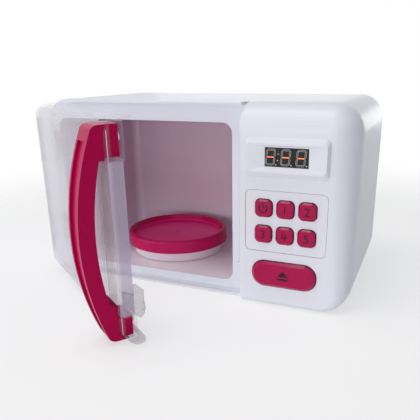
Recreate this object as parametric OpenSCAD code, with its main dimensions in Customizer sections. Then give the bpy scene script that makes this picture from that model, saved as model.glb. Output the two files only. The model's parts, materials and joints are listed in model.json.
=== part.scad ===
/* [Case] */
// Room above the oven opening, up to the roof
roof_gap = 15.3; // [14:0.1:30]
// Room behind the oven, up to the back of the case
back_gap = 11.5; // [10:0.1:30]
// Strip between the oven opening and the control panel
panel_gap = 10.9; // [9:0.1:16]
// How far the control panel stands out in front of the door rim
panel_proud = 7.2; // [5:0.1:9]
// Width of the control panel
panel_w = 84.4; // [80:0.1:96]
// Corner radius of the case, seen from the front
corner_r = 20; // [16:0.5:24]
// Radius that rolls the panel face over into the roof and the side
pillow_r = 20; // [16:0.5:21]
// Wall thickness of the case mouldings
wall = 2.2; // [1.6:0.1:3]
// Depth of the recess that the door closes into
recess_d = 9.5; // [8.8:0.1:12]
// Thickness of the roof and floor lips over the recess
lip_t = 1.6; // [1.2:0.1:2]
// Edge radius along the bottom of the control panel
panel_low_r = 4; // [3:0.1:6]
// Depth of the back cover moulding
back_depth = 12; // [10:0.5:16]
// Radius round the back edge
back_r = 8; // [4:0.5:9]
// Height of the feet below the case floor
foot_h = 0.8; // [0.5:0.1:1.2]
// Diameter of a foot pad
foot_dia = 14; // [10:0.5:18]
// Distance of a foot pad from the side of the case
foot_inset = 26; // [14:1:40]

/* [Oven cavity] */
// Width of the oven opening
cavity_w = 159; // [120:1:220]
// Height of the oven opening
cavity_h = 126.1; // [100:0.1:170]
// Height of the oven floor above the table
floor_z = 8.6; // [8.4:0.1:14]
// Case edge to oven opening, on the hinge side
cavity_margin = 9.7; // [9:0.1:14]
// Corner radius of the oven opening
cavity_r = 8; // [7:0.5:12]
// Depth of the oven, from its frame to the rear wall
cavity_d = 117; // [102:1:160]
// Wall of the cavity liner
liner_t = 1.6; // [1.2:0.1:1.8]

/* [Door] */
// Angle that the door stands open at rest
open_angle = 35; // [20:1:60]
// Wall of the clear door shell
shell_t = 2; // [1.6:0.1:2.4]
// Depth of the shell at the latch side wall
shell_side_d = 9.2; // [8:0.1:10]
// Full depth of the shell, over its top and bottom flanges
shell_d = 15; // [13:0.1:15.2]
// Radius along the top front edge of the door
shell_top_r = 12; // [8:0.5:12.5]
// Radius along the bottom front edge of the door
shell_bottom_r = 9; // [6:0.5:12]
// Reach of the flanges past the latch side wall
ear_reach = 5.6; // [4:0.1:6]
// Hinge axis, inward from the left side of the case
hinge_in = 6.3; // [6:0.1:7]
// Hinge axis, in front of the oven frame
hinge_out = 4.2; // [4:0.1:4.6]
// Radius of the hinge knuckles
knuckle_r = 3.6; // [3.2:0.1:3.8]
// Radius of the hinge pins
pin_r = 1.5; // [1:0.1:1.8]
// Length of a case knuckle
knuckle_len = 12; // [8:0.5:16]
// Length of each door knuckle
door_knuckle_len = 5.5; // [4:0.5:8]
// Drop of the upper case knuckle's middle below the roof
knuckle_drop = 38; // [30:1:50]
// Height of the lower case knuckle's middle
knuckle_low_z = 39; // [30:1:50]

/* [Handle] */
// Width of the handle band
handle_w = 19; // [16:0.5:22]
// Reach of the handle in front of the door
handle_reach = 20.3; // [16:0.1:24]
// Thickness of the handle band at its middle
handle_t = 10.3; // [7:0.1:11]
// Reach of the handle's lower end in front of the door
handle_end_out = 6.2; // [1.5:0.1:8]
// Radius round the ends of the handle
handle_end_r = 7.5; // [3:0.5:9]
// Height of the upper foot of the handle
handle_foot_top = 21; // [16:0.5:26]
// Height of the lower foot of the handle
handle_foot_low = 25.4; // [20:0.5:30]
// Gap from the handle to the latch edge of the door
handle_inset = 5; // [3:0.1:8]
// Depth of the groove down the front of the handle
groove_d = 1.6; // [0.8:0.1:2.4]
// How deep the handle feet seat in their pockets
foot_in = 9.4; // [4:0.1:10]

/* [Latch] */
// Height of the latch hook's middle
hook_z = 31; // [30:0.5:32]
// Height of the latch hook
hook_h = 24; // [18:0.5:26]
// Thickness of the hook
hook_t = 1.8; // [1.4:0.1:2.2]
// Reach of the hook behind the latch side wall
hook_reach = 6.4; // [5:0.1:6.6]
// Grip of the catch behind the hook's lip
lip_grip = 1.4; // [0.8:0.1:1.8]

/* [Control panel] */
// Height of the display surround
bezel_h = 28; // [24:0.5:30]
// How far the display surround stands out
bezel_proud = 3.2; // [2:0.1:4]
// Width of the flat rim round the surround's slopes
bezel_rim = 1.5; // [1:0.1:2.5]
// Depth of the window below the surround's rim
bezel_sink = 2.1; // [1.4:0.1:2.4]
// Width of the display window
window_w = 31; // [26:0.5:36]
// Height of the display window
window_h = 13.2; // [10:0.1:15]
// Height of the keypad plate
keypad_h = 45.8; // [42:0.1:47]
// Bare web between two keys
key_web = 2.9; // [1.5:0.1:3.5]
// Corner radius of a key cap
key_r = 4; // [2:0.1:6]
// Spacing of the keys up and down
key_pitch_z = 19.6; // [17:0.1:21]
// Travel of a key
key_travel = 1.2; // [0.8:0.1:1.3]
// How far a key stands out
key_proud = 2; // [1:0.1:2.4]
// Slope taken off the edge of a key
key_slope = 1.3; // [0.5:0.1:1.5]
// Slope taken off the edge of the open button
open_slope = 2.1; // [0.6:0.1:2.2]
// Height of the open button
open_h = 20.5; // [16:0.5:21]
// Height of the open button's middle above the table
open_z = 26.6; // [26:0.1:28]
// How far the open button stands out
open_proud = 2.6; // [1.6:0.1:4]
// Travel of the open button
open_travel = 3; // [2:0.1:3.2]

/* [Turntable] */
// Radius of the plate
plate_r = 46.8; // [40:0.1:50]
// Height of the plate's skirt
plate_h = 11; // [8:0.1:14]
// Depth of the plate's sunken middle below its rim
plate_sink = 5; // [3:0.1:6]
// Width of the slope from the rim down to the sunken middle
plate_slope = 6.4; // [4:0.1:8]
// Height of the plate's skirt above the oven floor
plate_lift = 9.3; // [7:0.1:12]
// Radius of the drive pulleys
pulley_r = 10; // [8:0.5:12]
// Radius of the drive spindle
spindle_r = 3; // [2:0.1:4]

/* [Battery] */
// Diameter of a battery
cell_dia = 14.5; // [14.1:0.1:14.7]
// Length of a battery
cell_len = 50.5; // [49:0.1:51]
// How many batteries
cell_count = 3; // [2:1:3]
// Height of the battery box's middle
battery_z = 57; // [54:1:60]

/* [Fits] */
// Gap round a moving or loose part
fit_gap = 0.3; // [0.2:0.05:0.4]
// Gap on a hinge pin's radius
pin_gap = 0.1; // [0.05:0.01:0.1]
// Gap on a screw's radius where it grips
thread_gap = 0.05; // [0.02:0.01:0.1]
// Radius of a screw's shank
screw_r = 1.3; // [1:0.1:1.5]

/* [Hidden] */
$fn = 64;

white = [0.90, 0.90, 0.92];
crimson = [0.76, 0.05, 0.28];
mauve = [0.72, 0.62, 0.68];
clear = [0.85, 0.88, 0.92, 0.35];
black = [0.05, 0.05, 0.06];
steel = [0.70, 0.71, 0.73];
green = [0.10, 0.38, 0.20];
rubber = [0.22, 0.22, 0.24];

// Size of the case: the oven with the room round it, and the control panel
body_w = cavity_margin + cavity_w + panel_gap + panel_w;
body_h = floor_z + cavity_h + roof_gap;
body_d = recess_d + cavity_d + back_gap;

// Planes of the case, from front to back and side to side
half_w = body_w / 2;
face_y = -(body_d + panel_proud) / 2;
rim_y = face_y + panel_proud;
back_y = -face_y;
frame_y = rim_y + recess_d;
inner_y = frame_y + wall;
seam_y = face_y + pillow_r;
back_seam_y = back_y - back_depth;
back_in_y = back_y - wall;
base_z = foot_h;
mid_z = (body_h + base_z) / 2;
floor_in_z = base_z + wall;
panel_x = half_w - panel_w;
panel_in_x = panel_x + wall;
panel_in_y = face_y + wall;
control_w = panel_w - corner_r - 4.9;
panel_mid_x = panel_x + (panel_w - corner_r + 7.8) / 2;
lip_x = -half_w + corner_r + 2;

// Oven cavity
cav_x0 = -half_w + cavity_margin;
cav_x1 = cav_x0 + cavity_w;
cav_x = (cav_x0 + cav_x1) / 2;
cav_top_z = floor_z + cavity_h;
cav_z = floor_z + cavity_h / 2;
cav_back_y = frame_y + cavity_d;
liner_low_z = floor_z - liner_t;
oven_end_d = 9;
oven_end_r = 7;
oven_seam_y = cav_back_y - oven_end_d;
liner_right_x = cav_x1 + liner_t;
table_y = (frame_y + cav_back_y) / 2;

// Door, described closed and then turned about its hinge
knuckle_top_z = body_h - knuckle_drop;
hinge_x = -half_w + hinge_in;
hinge_y = frame_y - hinge_out;
door_x0 = -half_w + fit_gap;
door_x1 = panel_x - 1.5 - ear_reach;
door_low_z = base_z + lip_t + fit_gap;
door_top_z = body_h - lip_t - fit_gap;
door_in_y = face_y + shell_t;
door_back_y = face_y + shell_d;
door_corner_r = corner_r - 1;
hinge_side_y = face_y + 4.6;
flange_clear_x = hinge_x + 2;

// Handle
handle_x1 = door_x1 - handle_inset;
handle_x0 = handle_x1 - handle_w;
handle_x = (handle_x0 + handle_x1) / 2;
handle_top_z = door_top_z - 5.2;
handle_low_z = door_low_z + 0.3;
handle_peak_z = (handle_low_z + handle_top_z) / 2;
handle_peak_y = face_y - handle_reach;
handle_sag = handle_reach - handle_end_out;
handle_arc_r = (pow(handle_peak_z - handle_low_z, 2) + pow(handle_sag, 2)) / (2 * handle_sag);
handle_in_r = 1.06 * handle_arc_r;
block_in = 0.6;
groove_top = 9.5;
screw_top = 8.7;
pocket_top_low_z = handle_top_z - 19.4;
pocket_low_z = door_low_z + shell_t + 0.2;
pocket_low_top_z = handle_low_z + 16.5;

// Latch
hook_x0 = door_x1;
hook_root_y = face_y + 1.4;
hook_back_y = face_y + shell_side_d + hook_reach;
catch_z0 = hook_z - 5.6;
catch_h = 2.6;
catch_y0 = hook_back_y - 5.4;
catch_y1 = catch_y0 + 2.6;
catch_tip_x = hook_x0 + hook_t + 0.3;
wedge_x0 = panel_mid_x - 20;
wedge_w = 4;
wedge_x1 = wedge_x0 + wedge_w;
wedge_y = catch_y0 + 1.4;
follower_w = 8;
slide_end_x = wedge_x1 + follower_w + 12;
post_x0 = panel_mid_x + 12.5;
post_w = 8;
follower_z = catch_z0 + catch_h;

// Controls, stacked up the panel with the free height shared between them
bezel_w = control_w;
bezel_z = body_h - pillow_r - 2.4 - bezel_h / 2;
bezel_y = face_y - bezel_proud;
window_y = bezel_y + bezel_sink;
keypad_w = control_w + 0.5;
key_pitch_x = (keypad_w - 11.7) / 3;
key_w = key_pitch_x - key_web;
open_w = control_w - 10.5;
free_h = bezel_z - bezel_h / 2 - open_z - open_h / 2 - keypad_h;
keypad_z = open_z + open_h / 2 + 0.42 * free_h + keypad_h / 2;

// Panel pieces, front to back
plate_front_y = face_y + 0.3;
keypad_t = 1.1;
flange_front_y = plate_front_y + keypad_t + fit_gap;
flange_t = 1.2;
stem_end_y = flange_front_y + flange_t + 1;
mat_front_y = stem_end_y + key_travel + 0.1;
mat_t = 1.4;
board_front_y = mat_front_y + mat_t;
board_t = 1.6;
board_back_y = board_front_y + board_t;
board_w = keypad_w + 2;
board_low_z = keypad_z - keypad_h / 2 - 0.33 * free_h;
board_top_z = keypad_z + keypad_h / 2 + 0.42 * free_h;
board_boss_r = 2.2;
board_boss_x = board_w / 2 - 8;
display_board_w = 40;
ledge = 3;
open_flange_y = panel_in_y + fit_gap;
open_flange_t = 1.4;
open_back_y = open_flange_y + open_flange_t;
post_y0 = open_back_y + open_travel + 3.2;

// Turntable drive
plate_t = 2;
plate_z0 = floor_z + plate_lift;
plate_z1 = plate_z0 + plate_h;
dish_z = plate_z1 - plate_sink;
dish_r = plate_r - plate_slope;
skirt_t = 2.2;
rim_r = 2.2;
motor_shaft_r = 1.5;
ring_z0 = floor_z + 0.4;
ring_z1 = dish_z - plate_t;
ring_top_r = plate_r - skirt_t - 0.6;
ring_t = 1.6;
belt_z0 = floor_in_z + 1.2;
belt_h = 1.5;
pulley_z0 = belt_z0 - 0.5;
pulley_z1 = belt_z0 + belt_h + 0.5;
pulley_rim = 0.4;
belt_t = 1.6;
spindle_foot_r = 1.5;
motor_x = liner_right_x + 28;
motor_z0 = pulley_z1 + 2.6;
gearbox_w = 26;
gearbox_d = 22;
gearbox_h = 20;
can_r = 10;
can_h = 25;
motor_post_x = 17;

// Lamp, main circuit board and its standoffs on the liner's right wall
lamp_y = frame_y + 26;
lamp_r = 6;
main_board_d = 56;
main_board_h = 52;
main_board_z = mid_z - 4;
standoff_h = 3;
standoff_y = main_board_d / 2 - 6;
standoff_z = [main_board_z + 6, main_board_z + main_board_h - 6];

// Battery box
battery_x = panel_x + 40.4;
box_w = cell_count * (cell_dia + 0.5) + 3;
box_h = cell_len + 8;
box_t = 1.5;
box_front_y = back_in_y - cell_dia - 2.4;
hatch_w = box_w + 2;
hatch_h = box_h + 2;
hatch_t = 2;
hatch_y = back_y - hatch_t;
hatch_pivot_z = battery_z - hatch_h / 2 + 1;
hatch_pivot_r = 1;
speaker_z = battery_z + box_h / 2 + 22;
speaker_r = 14;
sound_hole_r = 1.3;
cone_r = 8;

// Screws: place of each case screw, then the place its rib reaches to in the nearest wall
screw_head_r = 2.6;
small_screw_r = 0.9;
boss_r = 3.4;
roof_screw_z = cav_top_z + liner_t + 5;
roof_rib_z = body_h - wall / 2;
side_screw_x = half_w - 12;
side_rib_x = half_w - wall / 2;
low_screw_x = cav_x1 + liner_t + 8;
case_screw_xz = [
    [cav_x0 + 22, roof_screw_z, cav_x0 + 22, roof_rib_z],
    [cav_x1 - 20, roof_screw_z, cav_x1 - 20, roof_rib_z],
    [side_screw_x, body_h - 18, side_rib_x, body_h - 18],
    [side_screw_x, base_z + 18, side_rib_x, base_z + 18],
    [low_screw_x, base_z + 11, low_screw_x, base_z + wall / 2]];

// Extrudes a front view outline from y0 to y1
module along_y(y0, y1) translate([0, y1, 0]) rotate([90, 0, 0]) linear_extrude(y1 - y0) children();

// Extrudes a side view outline, drawn as (y, z), from x0 to x1
module along_x(x0, x1) translate([x0, 0, 0]) rotate([90, 0, 90]) linear_extrude(x1 - x0) children();

// Extrudes a plan outline from z0 to z1
module along_z(z0, z1) translate([0, 0, z0]) linear_extrude(z1 - z0) children();

module rounded(w, h, r) {
    square([w - 2 * r, h], center = true);
    square([w, h - 2 * r], center = true);
    for (sx = [-1, 1], sz = [-1, 1])
        translate([sx * (w / 2 - r), sz * (h / 2 - r)]) circle(r);
}

module body_outline(inset) translate([0, mid_z])
    rounded(body_w - 2 * inset, body_h - base_z - 2 * inset, corner_r - inset);

module cavity_outline(grow) translate([cav_x, cav_z])
    rounded(cavity_w + 2 * grow, cavity_h + 2 * grow, cavity_r + grow);

module box(x0, x1, y0, y1, z0, z1) translate([x0, y0, z0]) cube([x1 - x0, y1 - y0, z1 - z0]);

module rod_y(x, z, y0, y1, r) translate([x, y0, z]) rotate([-90, 0, 0]) cylinder(h = y1 - y0, r = r);

module rod_x(x0, x1, y, z, r)
    translate([x0, y, z]) rotate([0, 90, 0]) cylinder(h = x1 - x0, r = r);

module rod_z(x, y, z0, z1, r) translate([x, y, z0]) cylinder(h = z1 - z0, r = r);

// Case body: roof, sides, floor, oven frame and the knuckles that carry the door
module housing() color(white) difference() {
    union() {
        difference() {
            along_y(frame_y, back_seam_y) body_outline(0);
            along_y(inner_y, back_seam_y + 1) body_outline(wall);
            box(panel_x, half_w + 1, frame_y - 1, seam_y, 0, body_h + 1);
        }
        intersection() {
            difference() {
                along_y(rim_y, inner_y) body_outline(0);
                along_y(rim_y - 1, inner_y + 1) body_outline(lip_t);
            }
            box(lip_x, panel_x, rim_y - 1, frame_y + 1, 0, body_h + 1);
        }
        for (z = [knuckle_low_z, knuckle_top_z]) case_knuckle(z);
        rod_z(cav_x, table_y, floor_in_z - 0.5, floor_in_z + 0.4, 5);
        for (s = [-1, 1]) rod_z(motor_x + s * motor_post_x, table_y, floor_in_z - 0.5, motor_z0, 3);
        for (p = case_screw_xz) {
            rod_y(p[0], p[1], back_seam_y - 12, back_seam_y, boss_r);
            box(min(p[0] - 0.8, p[2]), max(p[0] + 0.8, p[2]), back_seam_y - 12, back_seam_y,
                min(p[1] - 0.8, p[3]), max(p[1] + 0.8, p[3]));
        }
    }
    for (p = case_screw_xz) rod_y(p[0], p[1], back_seam_y - 10, back_seam_y + 1, screw_r + thread_gap);
    along_y(frame_y - 1, inner_y + 1) cavity_outline(0);
    for (z = [knuckle_low_z, knuckle_top_z])
        rod_z(hinge_x, hinge_y, z - knuckle_len, z + knuckle_len, pin_r + thread_gap);
    rod_z(cav_x, table_y, floor_in_z - 1.6, floor_in_z + 2, spindle_foot_r + pin_gap);
    for (s = [-1, 1])
        rod_z(motor_x + s * motor_post_x, table_y, motor_z0 - 7, motor_z0 + 1, screw_r + thread_gap);
}

module case_knuckle(z) {
    rod_z(hinge_x, hinge_y, z - knuckle_len / 2, z + knuckle_len / 2, knuckle_r);
    box(hinge_x - knuckle_r, hinge_x + knuckle_r, hinge_y, frame_y + 0.5,
        z - knuckle_len / 2, z + knuckle_len / 2);
}

// Solid form of the control panel, shrunk by inset on every side but the back
module pillow(inset) difference() {
    hull() {
        translate([half_w - corner_r, seam_y, body_h - corner_r]) sphere(pillow_r - inset, $fn = 48);
        translate([half_w - corner_r, seam_y, base_z + corner_r]) sphere(pillow_r - inset, $fn = 48);
        for (a = [-90:15:-15])
            low_corner(a, panel_low_r + (pillow_r - panel_low_r) * pow(1 + a / 90, 1.6), inset);
        translate([panel_x + 3, seam_y, body_h - pillow_r]) rotate([0, 90, 0])
            rotate_extrude($fn = 64) translate([pillow_r - 3, 0]) circle(3 - inset * 0.9, $fn = 24);
        translate([panel_x + panel_low_r, face_y + panel_low_r, base_z + panel_low_r])
            sphere(panel_low_r - inset, $fn = 24);
        box(panel_x + inset, half_w - corner_r, seam_y - 1, seam_y + 1, base_z + inset, base_z + 10);
    }
    box(panel_x - 1, half_w + 1, seam_y, seam_y + pillow_r + 1, 0, body_h + 1);
}

// Edge radius r at angle a round the low right corner of the panel
module low_corner(a, r, inset)
    translate([half_w - corner_r, face_y + r, base_z + corner_r])
        translate([(corner_r - r) * cos(a), 0, (corner_r - r) * sin(a)]) sphere(r - inset, $fn = 32);

// Front moulding that carries the display, the keys and the open button
module control_panel() color(white) difference() {
    union() {
        difference() {
            pillow(0);
            pillow(wall);
            box(panel_in_x, half_w - corner_r, seam_y - 3, seam_y + 1, base_z + wall, base_z + 12);
        }
        for (sx = [-1, 1], z = [board_low_z + 2.4, board_top_z - 2.6])
            rod_y(panel_mid_x + sx * board_boss_x, z, panel_in_y - 0.5, board_front_y, board_boss_r);
        box(post_x0, post_x0 + post_w, post_y0, post_y0 + 4, floor_in_z - 0.5, open_z + 6);
        box(slide_end_x - 9, slide_end_x - 6, catch_y0 - 1, catch_y1 + 2,
            floor_in_z - 0.5, catch_z0 - fit_gap);
    }
    along_y(face_y - 1, panel_in_y + 1) translate([panel_mid_x, bezel_z])
        rounded(bezel_w - 6, bezel_h - 6, 3);
    along_y(face_y - 1, plate_front_y + keypad_t) translate([panel_mid_x, keypad_z])
        rounded(keypad_w + fit_gap * 2, keypad_h + fit_gap * 2, 4);
    along_y(face_y - 1, panel_in_y + 1) translate([panel_mid_x, keypad_z])
        rounded(keypad_w - 2 * ledge, keypad_h - 2 * ledge, 3);
    along_y(face_y - 1, panel_in_y + 1) translate([panel_mid_x, open_z])
        rounded(open_w + 2 * fit_gap, open_h + 2 * fit_gap, open_h / 2 + fit_gap - 0.6);
    box(panel_x - 1, panel_in_x + 1, catch_y0 - fit_gap, catch_y1 + fit_gap,
        catch_z0 - fit_gap, follower_z + fit_gap);
    for (sx = [-1, 1], z = [board_low_z + 2.4, board_top_z - 2.6])
        rod_y(panel_mid_x + sx * board_boss_x, z, board_front_y - 3.5, board_front_y + 1,
            small_screw_r + thread_gap);
}

// Half profile of a rounded edge: reach across, depth upward, and the lead in front of its start
module edge_profile(reach, depth, r, lead) {
    translate([0, -lead]) square([reach, depth - r + lead]);
    translate([0, -lead]) square([reach - r, depth + lead]);
    translate([reach - r, depth - r]) intersection() {
        circle(r);
        square(r);
    }
}

// Rounded rear end of a shell: four turned corners, four straight edges and the flat middle
module rear_end(x0, x1, z0, z1, y, reach, depth, r, lead) {
    for (x = [x0, x1], z = [z0, z1])
        translate([x, y, z]) rotate([-90, 0, 0]) rotate_extrude() edge_profile(reach, depth, r, lead);
    along_x(x0, x1) translate([y, z1]) mirror([1, -1]) edge_profile(reach, depth, r, lead);
    along_x(x0, x1) translate([y, z0]) mirror([0, 1]) mirror([1, -1]) edge_profile(reach, depth, r, lead);
    along_z(z0, z1) translate([x1, y]) edge_profile(reach, depth, r, lead);
    along_z(z0, z1) translate([x0, y]) mirror([1, 0]) edge_profile(reach, depth, r, lead);
    box(x0, x1, y - lead, y + depth, z0, z1);
}

module back_form(inset) rear_end(corner_r - half_w, half_w - corner_r, base_z + corner_r, body_h - corner_r,
    back_seam_y, corner_r - inset, back_depth - inset, back_r - inset, inset > 0 ? 1 : 0);

module oven_end(grow) rear_end(cav_x0 + cavity_r, cav_x1 - cavity_r,
    floor_z + cavity_r, cav_top_z - cavity_r, oven_seam_y,
    cavity_r + grow, oven_end_d + grow, oven_end_r + grow, grow > 0 ? 0 : 1);

// Rear moulding with the vents, the sound holes and the battery hatch
module back_cover() color(white) difference() {
    union() {
        difference() {
            back_form(0);
            back_form(wall);
        }
        for (p = case_screw_xz) rod_y(p[0], p[1], back_seam_y + 0.2, back_in_y + 0.5, boss_r);
    }
    for (i = [0:8]) along_y(back_in_y - 1, back_y + 1)
        translate([cav_x, mid_z - 24 + i * 6]) rounded(60, 2.4, 1.19);
    for (a = [0:60:300])
        rod_y(battery_x + 7 * cos(a), speaker_z + 7 * sin(a), back_in_y - 1, back_y + 1, sound_hole_r);
    rod_y(battery_x, speaker_z, back_in_y - 1, back_y + 1, 1.3);
    along_y(back_in_y - 1, back_y + 1) translate([battery_x, battery_z])
        square([hatch_w + 2 * fit_gap, hatch_h + 2 * fit_gap], center = true);
    for (p = case_screw_xz) {
        rod_y(p[0], p[1], back_seam_y, back_y + 1, screw_r + 0.1);
        rod_y(p[0], p[1], back_y - 5, back_y + 1, screw_head_r + 0.3);
    }
}

// Moulded oven interior that sits behind the frame
module cavity_liner() color(mauve) difference() {
    union() {
        along_y(inner_y, oven_seam_y) cavity_outline(liner_t);
        oven_end(liner_t);
        along_y(inner_y, inner_y + 1.6) cavity_outline(liner_t + 2);
        for (sy = [-standoff_y, standoff_y], z = standoff_z)
            rod_x(liner_right_x - 0.5, liner_right_x + standoff_h, table_y + sy, z, 2.4);
        rod_z(cav_x, table_y, liner_low_z, ring_z0 + 1.3, spindle_r + 2);
    }
    along_y(inner_y - 1, oven_seam_y) cavity_outline(0);
    oven_end(0);
    rod_z(cav_x, table_y, liner_low_z - 1, floor_z + 3, spindle_r + pin_gap);
    rod_z(cav_x, lamp_y, cav_top_z - 1, cav_top_z + liner_t + 1, lamp_r + 0.1);
    for (sy = [-standoff_y, standoff_y], z = standoff_z)
        rod_x(liner_right_x, liner_right_x + 4, table_y + sy, z, small_screw_r + thread_gap);
}

// Four corner pads, and one in the middle that keeps the thin floor from drumming
module case_feet() color(rubber) {
    for (x = [foot_inset - half_w, half_w - foot_inset], y = [rim_y + foot_inset, back_y - foot_inset])
        rod_z(x, y, 0, base_z, foot_dia / 2);
    rod_z(0, 0, 0, base_z, foot_dia / 2);
}

// Turns a piece that is drawn with the door closed to the rest pose
module door_pose() translate([hinge_x, hinge_y, 0]) rotate([0, 0, -open_angle])
    translate([-hinge_x, -hinge_y, 0]) children();

// Side view of the door shell, drawn as (y, z)
module door_profile(inset) {
    y0 = face_y + inset;
    z0 = door_low_z + inset;
    z1 = door_top_z - inset;
    rt = shell_top_r - inset;
    rb = shell_bottom_r - inset;
    translate([y0 + rt, z0]) square([shell_d - rt + inset, z1 - z0]);
    translate([y0, z0 + rb]) square([shell_d, z1 - z0 - rt - rb]);
    translate([y0 + rt, z1 - rt]) circle(rt);
    translate([y0 + rb, z0 + rb]) circle(rb);
    translate([y0 + rb, z0]) square([rt, rb]);
}

// Front view of the door, with rounded corners on the hinge side
module door_outline(inset, x1) {
    r = door_corner_r - inset;
    x0 = door_x0 + inset;
    z0 = door_low_z + inset;
    z1 = door_top_z - inset;
    translate([x0 + r, z0]) square([x1 - x0 - r, z1 - z0]);
    translate([x0, z0 + r]) square([r + 1, z1 - z0 - 2 * r]);
    for (z = [z0 + r, z1 - r]) translate([x0 + r, z]) circle(r);
}

// Plan view of the door, with rounded front corners and rounded flange ends
module door_plan() {
    r0 = 4;
    r1 = 3;
    x2 = door_x1 + ear_reach;
    translate([door_x0 + r0, face_y]) square([door_x1 - door_x0 - r0 - r1, shell_d]);
    translate([door_x0, face_y + r0]) square([x2 - door_x0 - ear_reach, shell_d - r0]);
    translate([door_x0 + r0, face_y + r0]) circle(r0);
    translate([door_x1 - r1, face_y + r1]) circle(r1);
    translate([door_x1 - ear_reach, face_y + 3]) square([ear_reach * 2 - 5, shell_d - 3]);
    translate([door_x1, face_y + 8]) square([ear_reach, shell_d - 13]);
    for (y = [face_y + 8, face_y + shell_d - 5]) translate([x2 - 5, y]) circle(5);
}

module door_solid(inset, x1) intersection() {
    along_x(door_x0 - 1, x1) door_profile(inset);
    along_y(face_y - 1, door_back_y + 1) door_outline(inset, x1);
}

// Room of the handle's two feet: open sides by grow, right end x1, front plane y0
module handle_pocket(grow, x1, y0) {
    x0 = handle_x0 + block_in - grow;
    y1 = face_y + foot_in + grow;
    box(x0, x1, y0, y1, pocket_top_low_z - grow, handle_top_z + grow);
    box(x0, x1, y0, y1, pocket_low_z - grow, pocket_low_top_z + grow);
}

// One clear moulding: window, side walls, flanges, handle pockets and hinge arms
module door_shell() color(clear) door_pose() difference() {
    union() {
        difference() {
            intersection() {
                door_solid(0, door_x1 + ear_reach);
                along_z(0, body_h) door_plan();
            }
            difference() {
                door_solid(shell_t, door_x1 - shell_t);
                box(door_x0 - 1, door_x0 + shell_t, face_y, back_y, 0, body_h);
            }
            box(door_x1, panel_x, face_y - 1, door_back_y + 1, door_low_z + shell_t, door_top_z - shell_t);
            box(door_x1 - shell_t - 1, door_x1 + 1, face_y + shell_side_d, door_back_y + 1,
                door_low_z + shell_t, door_top_z - shell_t);
            box(door_x0 - 1, flange_clear_x, hinge_side_y, door_back_y + 1, 0, body_h);
        }
        intersection() {
            handle_pocket(shell_t - 0.4, door_x1 - shell_t / 2, face_y + shell_t / 2);
            along_x(handle_x0 - shell_t, door_x1) door_profile(shell_t / 2);
        }
        for (z = [knuckle_low_z, knuckle_top_z], s = [-1, 1]) door_knuckle(z, s);
        box(handle_x0 - 4.4, handle_x0 - 3.2, door_in_y - 0.5, door_in_y + 1,
            door_low_z + 12, door_top_z - 14);
    }
    handle_pocket(fit_gap / 2, handle_x1 - block_in + fit_gap / 2, face_y - 1);
    handle_pocket(fit_gap / 2, door_x1 - shell_t, door_in_y);
    for (z = [handle_top_z - screw_top, handle_low_z + 10])
        rod_y(handle_x, z, face_y, face_y + foot_in + 4, screw_r + fit_gap);
    for (z = [knuckle_low_z, knuckle_top_z])
        rod_z(hinge_x, hinge_y, z - 2 * knuckle_len, z + 2 * knuckle_len, pin_r + pin_gap);
}

module door_knuckle(z, s) {
    z0 = z + s * (knuckle_len / 2 + fit_gap + door_knuckle_len / 2) - door_knuckle_len / 2;
    rod_z(hinge_x, hinge_y, z0, z0 + door_knuckle_len, knuckle_r);
    box(hinge_x - 2.4, hinge_x + 2.4, door_in_y - 0.5, hinge_y, z0, z0 + door_knuckle_len);
}

// Side view of the handle, drawn as (y, z): two sweeps cut off at the door face
module handle_profile() {
    centre_y = handle_peak_y + handle_arc_r;
    inner_peak = handle_peak_y + handle_t;
    difference() {
        intersection() {
            translate([centre_y, handle_peak_z]) circle(handle_arc_r, $fn = 256);
            translate([face_y - handle_reach, handle_low_z])
                square([handle_reach + shell_bottom_r - 1, handle_top_z - handle_low_z]);
        }
        door_profile(-0.1);
        intersection() {
            translate([inner_peak + handle_in_r, handle_peak_z]) circle(handle_in_r, $fn = 256);
            translate([face_y - handle_reach, handle_low_z + handle_foot_low])
                square([handle_reach + 1, handle_top_z - handle_low_z - handle_foot_low - handle_foot_top]);
        }
        handle_end(handle_top_z - handle_end_r, 1);
        handle_end(handle_low_z + handle_end_r, -1);
    }
}

// Corner taken off an end of the handle round the height z, upward or downward
module handle_end(z, up) translate([face_y - handle_out(z) + handle_end_r, z]) difference() {
    translate([-handle_reach, up > 0 ? 0 : -handle_end_r - 1]) square([handle_reach, handle_end_r + 1]);
    circle(handle_end_r);
}

// Reach of the handle's outer sweep in front of the door at height z
function handle_out(z) =
    handle_reach - handle_arc_r + sqrt(pow(handle_arc_r, 2) - pow(z - handle_peak_z, 2));

module door_handle() color(crimson) door_pose() difference() {
    union() {
        along_x(handle_x0, handle_x1) handle_profile();
        handle_pocket(0, handle_x1 - block_in, face_y - 0.5);
    }
    along_x(handle_x0 + 2.6, handle_x1 - 3.4) difference() {
        translate([handle_peak_y + handle_arc_r, handle_peak_z]) circle(handle_arc_r + 2, $fn = 256);
        translate([handle_peak_y + handle_arc_r, handle_peak_z]) circle(handle_arc_r - groove_d, $fn = 256);
        translate([handle_peak_y - 3, handle_top_z - groove_top]) square([handle_reach + 6, 20]);
        translate([handle_peak_y - 3, handle_low_z - 15]) square([handle_reach + 6, 20]);
    }
    for (z = [handle_top_z - screw_top, handle_low_z + 10])
        rod_y(handle_x, z, face_y - 1.5, face_y + foot_in + 1, screw_r + thread_gap);
}

// Screw head that faces backward, with a cross recess
module screw_head(x, z, y, h) difference() {
    rod_y(x, z, y, y + h, screw_head_r);
    box(x - 1.7, x + 1.7, y + h - 0.7, y + h + 1, z - 0.4, z + 0.4);
    box(x - 0.4, x + 0.4, y + h - 0.7, y + h + 1, z - 1.7, z + 1.7);
}

module handle_screws() color(steel) door_pose()
    for (z = [handle_top_z - screw_top, handle_low_z + 10]) {
        rod_y(handle_x, z, face_y - 1.2, face_y + foot_in + 2, screw_r);
        screw_head(handle_x, z, face_y + foot_in + shell_t - 0.4, 1.6);
    }

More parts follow.
